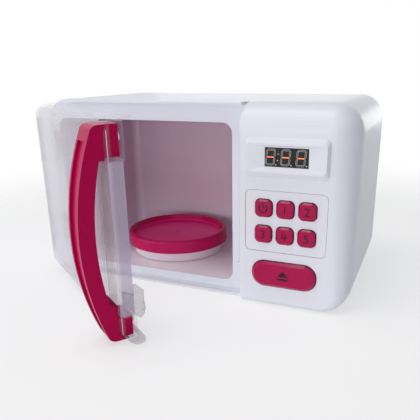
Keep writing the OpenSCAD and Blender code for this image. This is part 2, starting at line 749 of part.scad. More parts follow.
// Hook on the latch side wall, with a lip that the catch holds
module latch_hook() color(clear) door_pose() {
    along_x(hook_x0, hook_x0 + hook_t) polygon([
        [hook_root_y, hook_z + 9], [face_y + shell_side_d, hook_z + 5],
        [face_y + shell_side_d, hook_z + hook_h / 2], [hook_back_y - 4.6, hook_z + hook_h / 2],
        [hook_back_y, hook_z + hook_h / 2 - 4.6], [hook_back_y, hook_z - hook_h / 2 + 3],
        [hook_back_y - 3, hook_z - hook_h / 2], [face_y + shell_side_d, hook_z - hook_h / 2 + 3],
        [face_y + shell_side_d, hook_z - 8], [hook_root_y, hook_z]]);
    box(hook_x0 + hook_t - 0.1, hook_x0 + hook_t + lip_grip, hook_back_y - 2, hook_back_y,
        catch_z0 - 0.6, follower_z + 2);
}

module hinge_pins() color(steel)
    for (z = [knuckle_low_z, knuckle_top_z])
        rod_z(hinge_x, hinge_y, z - knuckle_len / 2 - door_knuckle_len,
            z + knuckle_len / 2 + door_knuckle_len, pin_r);

// Raised surround with sloped top and bottom
module display_bezel() color(white) difference() {
    union() {
        hull() {
            along_y(face_y - 0.8, face_y) translate([panel_mid_x, bezel_z]) rounded(bezel_w, bezel_h, 4);
            along_y(bezel_y, bezel_y + 0.4) translate([panel_mid_x, bezel_z])
                rounded(bezel_w - 3, bezel_h - 7.4, 3);
        }
        along_y(face_y - 0.2, panel_in_y + 1.2) translate([panel_mid_x, bezel_z])
            rounded(bezel_w - 6 - fit_gap, bezel_h - 6 - fit_gap, 2.8);
    }
    hull() {
        along_y(bezel_y - 0.1, bezel_y) translate([panel_mid_x, bezel_z])
            rounded(bezel_w - 3 - 2 * bezel_rim, bezel_h - 7.4 - 2 * bezel_rim, 2);
        along_y(window_y - 0.4, window_y - 0.3) display_outline(1.4);
    }
    along_y(bezel_y, panel_in_y + 2) display_outline(0.3);
    along_y(window_y + 1.7, panel_in_y + 2) display_outline(4);
}

// Outline of the display window, larger by grow in width and height
module display_outline(grow) translate([panel_mid_x, bezel_z + 0.6])
    square([window_w + grow, window_h + grow], center = true);

module display_window() color(black) {
    along_y(window_y, window_y + 1.9) display_outline(0);
    along_y(window_y + 1.7, window_y + 2.7) display_outline(3.4);
}

// Three digit display block, its pins and its small board
module display_module() color(black) {
    along_y(window_y + 2.7, panel_in_y + 1.3) display_outline(-1);
    box(panel_mid_x - display_board_w / 2, panel_mid_x + display_board_w / 2,
        panel_in_y + 1.2, panel_in_y + 2.8,
        board_top_z + 0.6, bezel_z + 12);
}

module keypad_plate() color(white) difference() {
    along_y(plate_front_y, plate_front_y + keypad_t) translate([panel_mid_x, keypad_z])
        rounded(keypad_w, keypad_h, 3.7);
    for (i = [-1:1], j = [-1, 1]) along_y(plate_front_y - 1, plate_front_y + keypad_t + 1)
        translate([panel_mid_x + i * key_pitch_x, keypad_z + j * key_pitch_z / 2 + key_shift()])
            rounded(key_w + 2 * fit_gap, key_w + 2 * fit_gap, key_r + fit_gap);
}

function key_shift() = 0.3;

// Button cap from front y0 to y1, with its front edge sloped back by c
module sloped_cap(w, h, r, c, y0, y1) {
    along_y(y0 + c, y1) rounded(w, h, r);
    hull() {
        along_y(y0 + c, y0 + c + 0.1) rounded(w, h, r);
        along_y(y0, y0 + 0.1) rounded(w - 2 * c, h - 2 * c, r - c);
    }
}

// One key: rounded cap, retaining flange and the stem that meets its dome
module key(col, row) color(crimson)
    translate([panel_mid_x + (col - 1) * key_pitch_x, 0,
        keypad_z + (0.5 - row) * key_pitch_z + key_shift()]) {
        sloped_cap(key_w, key_w, key_r, key_slope, face_y - key_proud, flange_front_y + 0.1);
        along_y(flange_front_y, flange_front_y + flange_t)
            rounded(key_pitch_x - 0.6, key_w + 1.4, key_r);
        rod_y(0, 0, flange_front_y, stem_end_y, 3);
    }

module key_1() key(0, 0);
module key_2() key(1, 0);
module key_3() key(2, 0);
module key_4() key(0, 1);
module key_5() key(1, 1);
module key_6() key(2, 1);

// Soft contact mat with a dome behind each key
module key_mat() color(rubber) {
    box(panel_mid_x - keypad_w / 2 + 3, panel_mid_x + keypad_w / 2 - 3,
        board_front_y - mat_t + 0.4, board_front_y,
        keypad_z - keypad_h / 2 + 3, keypad_z + keypad_h / 2 - 3);
    for (i = [-1:1], j = [-1, 1])
        rod_y(panel_mid_x + i * key_pitch_x, keypad_z + j * key_pitch_z / 2 + key_shift(),
            mat_front_y, board_front_y, 4);
}

module keypad_board() color(green) difference() {
    box(panel_mid_x - board_w / 2, panel_mid_x + board_w / 2, board_front_y, board_back_y,
        board_low_z, board_top_z);
    for (sx = [-1, 1], z = [board_low_z + 2.4, board_top_z - 2.6])
        rod_y(panel_mid_x + sx * board_boss_x, z, board_front_y - 1, board_back_y + 1, small_screw_r + 0.2);
}

module board_screws() color(steel) {
    for (sy = [-standoff_y, standoff_y], z = standoff_z) translate([liner_right_x, table_y + sy, z])
        rotate([0, 90, 0]) {
            cylinder(h = standoff_h + board_t + 0.2, r = small_screw_r);
            translate([0, 0, standoff_h + board_t]) cylinder(h = 1.2, r = 1.9);
        }
    for (sx = [-1, 1], z = [board_low_z + 2.4, board_top_z - 2.6]) {
        rod_y(panel_mid_x + sx * board_boss_x, z, board_front_y - 3.2, board_back_y + 0.2, small_screw_r);
        rod_y(panel_mid_x + sx * board_boss_x, z, board_back_y, board_back_y + 1.2, 1.9);
    }
}

// Open button with its flange and the wedge that draws the catch back
module open_button() color(crimson) {
    translate([panel_mid_x, 0, open_z]) {
        sloped_cap(open_w, open_h, open_h / 2 - 0.6, open_slope, face_y - open_proud, open_flange_y + 0.1);
        along_y(open_flange_y, open_back_y) rounded(open_w + 3, open_h + 2, open_h / 2);
    }
    along_z(follower_z + fit_gap, follower_z + fit_gap + 3.4) polygon([
        [wedge_x0, open_back_y - 0.5], [wedge_x1, open_back_y - 0.5],
        [wedge_x1, wedge_y], [wedge_x0, wedge_y + wedge_w]]);
}

module open_spring() color(steel) difference() {
    rod_y(post_x0 + post_w / 2, open_z, open_back_y + 0.1, post_y0 - 0.1, 3);
    rod_y(post_x0 + post_w / 2, open_z, open_back_y - 1, post_y0 + 1, 2.2);
}

// Catch that reaches through the panel's left wall, with its wedge follower
module latch_slide() color(white) {
    along_z(catch_z0, follower_z) polygon([
        [catch_tip_x, catch_y1], [catch_tip_x, catch_y1 - 1], [catch_tip_x + 1.6, catch_y0],
        [slide_end_x, catch_y0], [slide_end_x, catch_y1]]);
    along_z(follower_z - 0.1, follower_z + fit_gap + 3.4) polygon([
        [wedge_x0 + 0.5 + (wedge_y + wedge_w - catch_y1), catch_y1],
        [wedge_x0 + 0.5 + (wedge_y + wedge_w - catch_y0), catch_y0],
        [wedge_x1 + follower_w, catch_y0], [wedge_x1 + follower_w, catch_y1]]);
}

module latch_spring() color(steel) difference() {
    translate([slide_end_x + 0.1, (catch_y0 + catch_y1) / 2, catch_z0 + catch_h / 2]) rotate([0, 90, 0])
        cylinder(h = post_x0 - slide_end_x - 0.2, r = 1.3);
    translate([slide_end_x - 1, (catch_y0 + catch_y1) / 2, catch_z0 + catch_h / 2]) rotate([0, 90, 0])
        cylinder(h = post_x0 - slide_end_x + 2, r = 0.8);
}

// Plate with a sunken middle, a sloped rim and a skirt that hangs over the carrier ring
module turntable_plate() color(crimson) translate([cav_x, table_y, 0]) difference() {
    rotate_extrude($fn = 96) polygon(concat(
        [[0, ring_z1], [plate_r - skirt_t, ring_z1], [plate_r - skirt_t, plate_z0], [plate_r, plate_z0]],
        [for (a = [0:15:90]) [plate_r - rim_r * (1 - cos(a)), plate_z1 - rim_r * (1 - sin(a))]],
        [[dish_r + plate_slope - rim_r - 1.6, plate_z1], [dish_r, dish_z], [0, dish_z]]));
    rod_z(0, 0, dish_z - 0.4, dish_z + 1, 1.2);
}

// Milky ring with a flat deck and a hub that grips the spindle
module turntable_ring() color([0.88, 0.86, 0.88, 0.7])
translate([cav_x, table_y, 0]) rotate_extrude($fn = 96) {
    polygon([[ring_top_r - ring_t - 2, ring_z0], [ring_top_r - 2, ring_z0], [ring_top_r, ring_z1],
        [ring_top_r - ring_t, ring_z1]]);
    translate([spindle_r + 0.1, ring_z1 - 1.8]) square([ring_top_r - ring_t - spindle_r, 1.8]);
    translate([spindle_r + 0.1, ring_z0 + 2]) square([3, ring_z1 - ring_z0 - 2]);
}

// Spindle that passes through the oven floor, with its pulley and foot pin
module drive_spindle() color(white) translate([cav_x, table_y, 0]) rotate_extrude() {
    translate([0, pulley_z0]) square([spindle_r, ring_z1 - 0.4 - pulley_z0]);
    translate([0, pulley_z0]) square([pulley_r - 1.1, pulley_z1 - pulley_z0]);
    pulley_flanges(0);
    translate([0, floor_in_z - 1]) square([spindle_foot_r, 3]);
}

module pulley_flanges(bore) for (z = [pulley_z0, pulley_z1 - pulley_rim])
    translate([bore, z]) square([pulley_r + 1 - bore, pulley_rim]);

module motor_pulley() color(white) translate([motor_x, table_y, 0]) rotate_extrude() {
    translate([motor_shaft_r + 0.1, pulley_z0])
        square([pulley_r - 1.2 - motor_shaft_r, pulley_z1 - pulley_z0]);
    pulley_flanges(motor_shaft_r + 0.1);
}

module belt_loop(r) {
    for (x = [cav_x, motor_x]) translate([x, table_y]) circle(r);
    translate([cav_x, table_y - r]) square([motor_x - cav_x, 2 * r]);
}

module drive_belt() color(black) along_z(belt_z0, belt_z0 + belt_h) difference() {
    belt_loop(pulley_r - 0.8 + belt_t);
    belt_loop(pulley_r - 0.8);
}

// Geared motor on its two posts, with the shaft that turns the pulley
module gear_motor() color(steel) {
    box(motor_x - gearbox_w / 2, motor_x + gearbox_w / 2, table_y - gearbox_d / 2, table_y + gearbox_d / 2,
        motor_z0 + 2, motor_z0 + gearbox_h);
    difference() {
        box(motor_x - motor_post_x - 3.4, motor_x + motor_post_x + 3.4, table_y - 4, table_y + 4,
            motor_z0, motor_z0 + 2.2);
        for (s = [-1, 1])
            rod_z(motor_x + s * motor_post_x, table_y, motor_z0 - 1, motor_z0 + 3, screw_r + 0.2);
    }
    rod_z(motor_x, table_y, motor_z0 + gearbox_h - 0.1, motor_z0 + gearbox_h + can_h, can_r);
    rod_z(motor_x, table_y, pulley_z0 + 0.2, motor_z0 + 2.2, motor_shaft_r);
    for (s = [-1, 1]) {
        rod_z(motor_x + s * motor_post_x, table_y, motor_z0 - 6, motor_z0 + 2.3, screw_r);
        rod_z(motor_x + s * motor_post_x, table_y, motor_z0 + 2.2, motor_z0 + 3.6, screw_head_r);
    }
}

module cavity_lamp() color([0.95, 0.93, 0.80]) translate([cav_x, lamp_y, 0]) {
    rod_z(0, 0, cav_top_z - 1.2, cav_top_z + liner_t + 0.1, lamp_r);
    rod_z(0, 0, cav_top_z + liner_t, cav_top_z + liner_t + 1.4, lamp_r + 2);
    rod_z(0, 0, cav_top_z + liner_t + 1.3, cav_top_z + liner_t + 6, 3);
}

module main_board() color(green) {
    x0 = liner_right_x + standoff_h;
    x1 = x0 + board_t;
    difference() {
        box(x0, x1, table_y - main_board_d / 2, table_y + main_board_d / 2,
            main_board_z, main_board_z + main_board_h);
        for (sy = [-standoff_y, standoff_y], z = standoff_z)
            rod_x(x0 - 1, x1 + 1, table_y + sy, z, small_screw_r + 0.2);
    }
    box(x1, x1 + 2.4, table_y - 8, table_y + 8, main_board_z + 20, main_board_z + 30);
    rod_x(x1, x1 + 9, table_y + 14, main_board_z + 38, 4);
    box(x1, x1 + 5.4, table_y - 20, table_y - 12, main_board_z + 12, main_board_z + 36);
}

module speaker() color(black) {
    rod_y(battery_x, speaker_z, back_in_y - 3.2, back_in_y, speaker_r);
    rod_y(battery_x, speaker_z, back_in_y - 7, back_in_y - 3.1, cone_r);
}

module battery_box() color(white) difference() {
    union() {
        box(battery_x - box_w / 2, battery_x + box_w / 2, box_front_y, back_in_y,
            battery_z - box_h / 2, battery_z + box_h / 2);
        box(battery_x - box_w / 2 - 5, battery_x + box_w / 2 + 5, back_in_y - box_t, back_in_y,
            battery_z - box_h / 2 - 5, battery_z + box_h / 2 + 5);
    }
    box(battery_x - box_w / 2 + box_t, battery_x + box_w / 2 - box_t, box_front_y + box_t, back_y,
        battery_z - box_h / 2 + box_t, battery_z + box_h / 2 - box_t);
}

function cell_x(i) = battery_x + (i - (cell_count - 1) / 2) * (cell_dia + 0.4);
function cell_y() = box_front_y + box_t + cell_dia / 2 + 0.3;

module battery_cells() color([0.55, 0.56, 0.60])
    for (i = [0:cell_count - 1])
        translate([cell_x(i), cell_y(), battery_z]) rotate([i % 2 == 0 ? 0 : 180, 0, 0]) {
            rod_z(0, 0, -cell_len / 2, cell_len / 2 - 1.2, cell_dia / 2);
            rod_z(0, 0, cell_len / 2 - 1.3, cell_len / 2, 2.7);
        }

module battery_contacts() color(steel)
    for (i = [0:cell_count - 1], s = [-1, 1]) {
        z_wall = battery_z + s * (box_h / 2 - box_t);
        z_cell = battery_z + s * (cell_len / 2 + 0.1);
        translate([cell_x(i), cell_y(), (z_wall + z_cell) / 2]) difference() {
            cylinder(h = abs(z_wall - z_cell) - 0.02, r = 3.2, center = true);
            cylinder(h = 10, r = 2.2, center = true);
        }
    }

module battery_cover() color(white) difference() {
    union() {
        box(battery_x - hatch_w / 2, battery_x + hatch_w / 2, hatch_y, back_y,
            hatch_pivot_z, battery_z + hatch_h / 2);
        translate([battery_x - hatch_w / 2, hatch_y + hatch_pivot_r, hatch_pivot_z]) rotate([0, 90, 0])
            cylinder(h = hatch_w, r = hatch_pivot_r);
        for (x = [-10, 0, 10]) box(battery_x + x - 0.6, battery_x + x + 0.6, back_y - 0.5, back_y + 0.6,
            battery_z + hatch_h / 2 - 14, battery_z + hatch_h / 2 - 8);
    }
    rod_y(battery_x + hatch_w / 4, battery_z + hatch_h / 2 - 4, hatch_y - 1, back_y + 1, screw_r + 0.1);
}

module cover_screw() color(steel) {
    screw_head(battery_x + hatch_w / 4, battery_z + hatch_h / 2 - 4, back_y, 1.1);
    rod_y(battery_x + hatch_w / 4, battery_z + hatch_h / 2 - 4, hatch_y, back_y, screw_r);
}

module case_screws() color(steel)
    for (p = case_screw_xz) {
        rod_y(p[0], p[1], back_seam_y - 6, back_y - 5, screw_r);
        screw_head(p[0], p[1], back_y - 5, 1.8);
    }

housing();
control_panel();
back_cover();
cavity_liner();
case_feet();
door_shell();
door_handle();
latch_hook();
handle_screws();
hinge_pins();
display_bezel();
display_window();
display_module();
keypad_plate();
key_1();
key_2();
key_3();
key_4();
key_5();
key_6();
key_mat();
keypad_board();
open_button();
open_spring();
latch_slide();
latch_spring();
turntable_plate();
turntable_ring();
drive_spindle();
drive_belt();
motor_pulley();
gear_motor();
cavity_lamp();
main_board();
speaker();
battery_box();
battery_contacts();
battery_cells();
battery_cover();
cover_screw();
case_screws();
board_screws();
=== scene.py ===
import json
import math

import bmesh
import bpy
from mathutils import Matrix, Vector


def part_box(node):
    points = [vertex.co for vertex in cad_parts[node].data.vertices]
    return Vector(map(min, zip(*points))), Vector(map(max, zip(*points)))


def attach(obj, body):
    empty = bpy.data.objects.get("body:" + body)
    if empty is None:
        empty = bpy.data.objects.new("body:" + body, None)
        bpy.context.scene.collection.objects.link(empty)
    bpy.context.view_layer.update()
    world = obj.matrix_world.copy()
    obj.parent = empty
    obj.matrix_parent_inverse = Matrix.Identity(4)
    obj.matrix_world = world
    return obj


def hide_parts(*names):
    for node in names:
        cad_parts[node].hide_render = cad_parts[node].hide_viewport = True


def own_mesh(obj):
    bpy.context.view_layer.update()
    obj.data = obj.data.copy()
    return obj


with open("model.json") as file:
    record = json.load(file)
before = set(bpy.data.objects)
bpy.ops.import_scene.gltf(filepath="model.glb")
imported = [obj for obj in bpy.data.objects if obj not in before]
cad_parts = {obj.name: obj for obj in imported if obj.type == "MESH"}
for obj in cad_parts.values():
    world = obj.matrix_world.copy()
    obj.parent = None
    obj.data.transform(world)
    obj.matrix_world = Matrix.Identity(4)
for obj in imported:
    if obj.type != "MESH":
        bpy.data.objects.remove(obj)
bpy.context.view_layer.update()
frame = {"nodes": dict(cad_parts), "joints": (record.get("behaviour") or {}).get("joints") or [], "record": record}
NODES = frame["nodes"]
SUBPARTS = {entry["node"]: entry for entry in frame["record"]["subparts"]}
JOINTS = {entry["name"]: entry for entry in frame["joints"]}

MM = 0.001
INWARD, UPWARD = (0, 1, 0), (0, 0, 1)

# The clear door at rest, turned open. A reach runs along it from the hinge axis, and a depth
# inward from its front face. A zone beside the handle's feet starts at a reach and ends at a depth.

DOOR_OPEN = math.radians(35)
DOOR_ALONG = Vector((math.cos(DOOR_OPEN), -math.sin(DOOR_OPEN), 0))
DOOR_INWARD = Vector((math.sin(DOOR_OPEN), math.cos(DOOR_OPEN), 0))
HINGE_DEPTH = 12.4 * MM
HINGE_EDGE = (-7 * MM, -5.2 * MM)
SIDE_WALL = (164.1 * MM, 166.3 * MM)
BETWEEN_FEET = (22 * MM, 121 * MM)
LOW_FLANGE, HIGH_FLANGE = 2.2 * MM, 2.6 * MM
ROUND_FEET = (148 * MM, 9.6 * MM)
POCKET = (160.5 * MM, 2.2 * MM)
POCKET_RIM = (164.9 * MM, 0.5 * MM)

# What each zone of the door is drawn to: its alpha, and a colour where it has one. The colour on the pocket rims
# is a painted highlight, and the one on the hinge edge a painted line of shade.
# Elsewhere it closes up between the two shares of a turn away.

FEET_LOOK = (0.0, None)
LOW_FLANGE_LOOK = (0.35, None)
HIGH_FLANGE_LOOK = (0.13, None)
SIDE_WALL_LOOK = (0.50, (0.55, 0.48, 0.61))
POCKET_LOOK = (0.05, None)
# Painted highlight: the bright line on the rims of the pockets round the handle's feet.
RIM_PAINTED_HIGHLIGHT = (0.7, (0.88, 0.74, 0.83))
# Painted shade: the grey line along the door's hinge edge, where the clear edge shows dark.
HINGE_EDGE_PAINTED_SHADE = (0.8, (0.42, 0.44, 0.48))
FACE_TURN = (0.60, 0.79)

# Where the painted light on the plate's dish and in the oven, and the painted shade at the foot of the keys,
# begin.
# The floor's limits are shares of the oven's depth, and the walls' are shares of its height.

DISH_R, DISH_FADE = 40.4 * MM, 0.6 * MM
KEY_FOOT, BUTTON_FOOT, FOOT_FADE = 0.8 * MM, 1.5 * MM, 0.25 * MM
OVEN_FLOOR, OVEN_FLOOR_FADE = 3.4 * MM, 2.5 * MM
FLOOR_BACK, FLOOR_FRONT = 0.95, 0.15
WALL_HIGH, WALL_LOW, WALL_SHARE = 0.46, 0.04, 0.4

# Grain of the moulded plastics

RIPPLE, GRAIN, GRAIN_SHARE = 60.0, 2500.0, 0.12
BUMP_STRENGTH, BUMP = 0.35, 0.04 * MM
PLASTIC_IOR = 1.47
SCATTER = 2 * MM


# Shader nodes

# Sockets of a Mix node, whose names repeat: its factor, its two numbers and its two colours
FACTOR, NUMBER_A, NUMBER_B, COLOUR_A, COLOUR_B = 0, 2, 3, 6, 7
NUMBER_OUT, COLOUR_OUT = 0, 2


def feed(tree, inlet, value):
    """Give an inlet a number, a tuple or the output of another node."""
    if isinstance(value, bpy.types.NodeSocket):
        tree.links.new(value, inlet)
    else:
        inlet.default_value = value


def maths(tree, operation, *values, clamp=False):
    node = tree.nodes.new("ShaderNodeMath")
    node.operation = operation
    node.use_clamp = clamp
    for inlet, value in zip(node.inputs, values):
        feed(tree, inlet, value)
    return node.outputs["Value"]


def vector_maths(tree, operation, *values):
    node = tree.nodes.new("ShaderNodeVectorMath")
    node.operation = operation
    for inlet, value in zip(node.inputs, values):
        feed(tree, inlet, value)
    return node.outputs


def ranged(tree, value, old=(0, 1), new=(0, 1), smooth=False):
    """A value carried from one range to another, and kept inside it."""
    node = tree.nodes.new("ShaderNodeMapRange")
    if smooth:
        node.interpolation_type = "SMOOTHSTEP"
    names = ("Value", "From Min", "From Max", "To Min", "To Max")
    for name, limit in zip(names, (value, *old, *new)):
        feed(tree, node.inputs[name], limit)
    return node.outputs["Result"]


def blended(tree, mask, first, second):
    """Colour that goes from the first to the second with the mask."""
    node = tree.nodes.new("ShaderNodeMix")
    node.data_type = "RGBA"
    for index, value in ((FACTOR, mask), (COLOUR_A, first), (COLOUR_B, second)):
        feed(tree, node.inputs[index], value)
    return node.outputs[COLOUR_OUT]


def surface_point(tree):
    """The point being shaded, in the object's frame."""
    place = tree.nodes.get("place") or tree.nodes.new("ShaderNodeTexCoord")
    place.name = "place"
    return place.outputs["Object"]


def along(tree, way):
    """How far the point being shaded lies along a direction."""
    return vector_maths(tree, "DOT_PRODUCT", surface_point(tree), way)["Value"]


def noise(tree, size, detail):
    node = tree.nodes.new("ShaderNodeTexNoise")
    node.inputs["Detail"].default_value = detail
    feed(tree, node.inputs["Vector"], surface_point(tree))
    feed(tree, node.inputs["Scale"], size)
    return node.outputs["Fac"]


def group(name, inlets, outlets):
    """Empty shader group with named numbers going in and out, and its two end nodes."""
    tree = bpy.data.node_groups.new(name, "ShaderNodeTree")
    for inlet, value in inlets:
        socket = tree.interface.new_socket(name=inlet, in_out="INPUT",
                                           socket_type="NodeSocketFloat")
        socket.default_value = value
    for outlet in outlets:
        tree.interface.new_socket(name=outlet, in_out="OUTPUT", socket_type="NodeSocketFloat")
    return tree, tree.nodes.new("NodeGroupInput").outputs, tree.nodes.new("NodeGroupOutput").inputs


def moulding_group():
    """Faint flow ripple and fine grain of a moulded part: a height and a drifting patch mask."""
    tree, inlet, outlet = group("moulded_surface", (("Ripple size", RIPPLE), ("Grain size", GRAIN)),
                                ("Height", "Patch"))
    ripple = noise(tree, inlet["Ripple size"], detail=2.0)
    grain = noise(tree, inlet["Grain size"], detail=1.0)
    feed(tree, outlet["Height"], maths(tree, "MULTIPLY_ADD", grain, GRAIN_SHARE, ripple))
    feed(tree, outlet["Patch"], ripple)
    return tree


def zone_group():
    """Mask of a zone: 1 while Value lies from Low to High, fading out over Soft beyond them."""
    names = ("Value", "Low", "High", "Soft")
    tree, inlet, outlet = group("zone", [(name, 0.0) for name in names], ("Mask",))
    fades = []
    for edge, way in (("Low", "SUBTRACT"), ("High", "ADD")):
        outer = maths(tree, way, inlet[edge], inlet["Soft"])
        fades.append(ranged(tree, inlet["Value"], old=(outer, inlet[edge])))
    feed(tree, outlet["Mask"], maths(tree, "MULTIPLY", *fades))
    return tree


MOULDED = moulding_group()
ZONE = zone_group()


def between(tree, value, low, high, soft):
    """Zone mask of a value, placed in a material with its own limits."""
    zone = tree.nodes.new("ShaderNodeGroup")
    zone.node_tree = ZONE
    for name, limit in (("Value", value), ("Low", low), ("High", high), ("Soft", soft)):
        feed(tree, zone.inputs[name], limit)
    return zone.outputs["Mask"]


# Materials

def new_material(name):
    """Fresh material, with its node tree and the inlets of its shader."""
    material = bpy.data.materials.new(name)
    material.use_nodes = True
    return material, material.node_tree, material.node_tree.nodes["Principled BSDF"].inputs


def shader_of(material):
    return material.node_tree.nodes["Principled BSDF"].inputs


def toned(colour, share):
    return tuple(c * share for c in colour)


def plastic(name, colour, deep, rough, rough_spread=0.06, ripple=RIPPLE, grain=GRAIN, bump=BUMP,
            subsurface=0.0, specular=0.5):
    """Moulded plastic: two close tones drifting over it, with ripple and grain in its relief."""
    material, tree, shader = new_material(name)
    shader["IOR"].default_value = PLASTIC_IOR
    shader["Specular IOR Level"].default_value = specular
    shader["Subsurface Weight"].default_value = subsurface
    shader["Subsurface Scale"].default_value = SCATTER
    surface = tree.nodes.new("ShaderNodeGroup")
    surface.node_tree = MOULDED
    surface.inputs["Ripple size"].default_value = ripple
    surface.inputs["Grain size"].default_value = grain
    patch = surface.outputs["Patch"]
    relief = tree.nodes.new("ShaderNodeBump")
    relief.inputs["Strength"].default_value = BUMP_STRENGTH
    relief.inputs["Distance"].default_value = bump
    gloss = (rough - rough_spread / 2, rough + rough_spread / 2)
    feed(tree, relief.inputs["Height"], surface.outputs["Height"])
    feed(tree, shader["Base Color"], blended(tree, patch, (*deep, 1), (*colour, 1)))
    feed(tree, shader["Roughness"], ranged(tree, patch, new=gloss))
    feed(tree, shader["Normal"], relief.outputs["Normal"])
    return material


def metal(name, colour, rough):
    material = plastic(name, colour, toned(colour, 0.85), rough, rough_spread=0.12, ripple=180.0,
                       grain=4000.0, bump=0.02 * MM)
    shader_of(material)["Metallic"].default_value = 1.0
    return material


def glowing(name, colour, strength):
    material = plastic(name, colour, toned(colour, 0.9), rough=0.4)
    shader_of(material)["Emission Color"].default_value = (*colour, 1)
    shader_of(material)["Emission Strength"].default_value = strength
    return material


def clear_plastic(name, colour, face_on, edge_on, rough, blend=0.25, turn=(0.0, 1.0)):
    """Clear moulding: seen through face on, and closing up as it turns away."""
    material = plastic(name, colour, toned(colour, 0.96), rough, rough_spread=0.03, ripple=35.0,
                       grain=1500.0, bump=0.05 * MM)
    tree = material.node_tree
    turned = tree.nodes.new("ShaderNodeLayerWeight")
    turned.inputs["Blend"].default_value = blend
    closing = ranged(tree, turned.outputs["Facing"], old=turn, new=(face_on, edge_on))
    feed(tree, shader_of(material)["Alpha"], closing)
    return material


def tinted(material, mask, colour):
    """Draw the base colour of a material to another colour where the mask is 1."""
    base = shader_of(material)["Base Color"]
    was = base.links[0].from_socket
    feed(material.node_tree, base, blended(material.node_tree, mask, was, (*colour, 1)))


def veiled(material, mask, alpha):
    """Draw the alpha of a material to another alpha where the mask is 1."""
    tree, closing = material.node_tree, shader_of(material)["Alpha"]
    was = closing.links[0].from_socket
    mixed = tree.nodes.new("ShaderNodeMix")
    for index, value in ((FACTOR, mask), (NUMBER_A, was), (NUMBER_B, alpha)):
        feed(tree, mixed.inputs[index], value)
    feed(tree, closing, mixed.outputs[NUMBER_OUT])


def door_plastic(name, colour, face_on, edge_on, rough):
    """Clear moulding of the door, zone by zone.

    It is milky on its free side wall between the handle's feet, fuller on its flanges and on its hinge edge,
    which carries a painted line of shade, quite clear round the feet, and bright with a painted highlight on the
    rims of their pockets.
    """
    material = clear_plastic(name, colour, face_on, edge_on, rough, blend=0.5, turn=FACE_TURN)
    tree = material.node_tree
    hinge = Vector(JOINTS["door_hinge"]["pos_m"])
    start = hinge.dot(DOOR_ALONG)
    front = hinge.dot(DOOR_INWARD) - HINGE_DEPTH
    bottom, top = (corner[2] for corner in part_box("door_shell"))
    reach, depth, height = (along(tree, way) for way in (DOOR_ALONG, DOOR_INWARD, UPWARD))
    wall = between(tree, reach, start + SIDE_WALL[0], start + SIDE_WALL[1], soft=0.1 * MM)
    middle = between(tree, height, *BETWEEN_FEET, soft=1.5 * MM)
    by_feet = maths(tree, "SUBTRACT", 1, middle)

    def beside_feet(first, deep):
        skin = between(tree, depth, front - MM, front + deep, soft=0.2 * MM)
        side = between(tree, reach, start + first, start + SIDE_WALL[1], soft=0.3 * MM)
        return maths(tree, "MULTIPLY", maths(tree, "MULTIPLY", skin, side), by_feet)

    low_flange = between(tree, height, bottom - MM, bottom + LOW_FLANGE, soft=0.2 * MM)
    high_flange = between(tree, height, top - HIGH_FLANGE, top + MM, soft=1.5 * MM)
    hinge_edge = between(tree, reach, start + HINGE_EDGE[0], start + HINGE_EDGE[1], soft=0.4 * MM)
    looks = (
        (beside_feet(*ROUND_FEET), FEET_LOOK), (low_flange, LOW_FLANGE_LOOK),
        (high_flange, HIGH_FLANGE_LOOK), (maths(tree, "MULTIPLY", wall, middle), SIDE_WALL_LOOK),
        (beside_feet(*POCKET), POCKET_LOOK), (beside_feet(*POCKET_RIM), RIM_PAINTED_HIGHLIGHT),
        (hinge_edge, HINGE_EDGE_PAINTED_SHADE),
    )
    for mask, (alpha, tint) in looks:
        veiled(material, mask, alpha)
        if tint:
            tinted(material, mask, tint)
    return material


def disc_plastic(name, colour, deep, inside, rough, specular):
    """Plastic of the turning plate, with painted light making it lighter over the floor of its dish."""
    material = plastic(name, colour, deep, rough, specular=specular)
    tree = material.node_tree
    low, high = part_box("turntable_plate")
    centre = ((low[0] + high[0]) / 2, (low[1] + high[1]) / 2, 0)
    flat = vector_maths(tree, "MULTIPLY", surface_point(tree), (1, 1, 0))["Vector"]
    out = vector_maths(tree, "DISTANCE", flat, centre)["Value"]
    # Painted light: the floor of the dish drawn lighter than the rest of the plate.
    tinted(material, between(tree, out, -1, DISH_R, DISH_FADE), inside)
    return material


def key_plastic(name, colour, deep, foot, rough, specular):
    """Glossy plastic of the keys and the open button, with painted shade darkening the foot of the cap."""
    material = plastic(name, colour, deep, rough, specular=specular)
    tree = material.node_tree
    key_front, button_front = (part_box(node)[0][1] for node in ("key_1", "open_button"))
    divide = (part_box("key_6")[0][2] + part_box("open_button")[1][2]) / 2
    on_button = maths(tree, "LESS_THAN", along(tree, UPWARD), divide)
    foot_from = ranged(tree, on_button, new=(key_front + KEY_FOOT, button_front + BUTTON_FOOT))
    past = maths(tree, "SUBTRACT", along(tree, INWARD), foot_from)
    # Painted shade: the foot of each cap drawn dark, for the shadow in the gap round it.
    tinted(material, ranged(tree, past, old=(0, FOOT_FADE)), foot)
    return material


def oven_plastic(name, colour, deep, pale, rough, specular):
    """Plastic of the oven's inside, with painted light: paler low down and on the floor towards its mouth."""
    material = plastic(name, colour, deep, rough, specular=specular)
    tree = material.node_tree
    (_, near, bottom), (_, far, top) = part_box("cavity_liner")
    back, front = (near + share * (far - near) for share in (FLOOR_BACK, FLOOR_FRONT))
    high, low = (bottom + share * (top - bottom) for share in (WALL_HIGH, WALL_LOW))
    height = along(tree, UPWARD)
    rising = ranged(tree, height, old=(high, low), new=(0, WALL_SHARE), smooth=True)
    forward = ranged(tree, along(tree, INWARD), old=(back, front))
    on_floor = between(tree, height, bottom - MM, bottom + OVEN_FLOOR, OVEN_FLOOR_FADE)
    # Painted light: low walls and the floor near the mouth drawn paler.
    tinted(material, rising, pale)
    tinted(material, maths(tree, "MULTIPLY", forward, on_floor), pale)
    return material


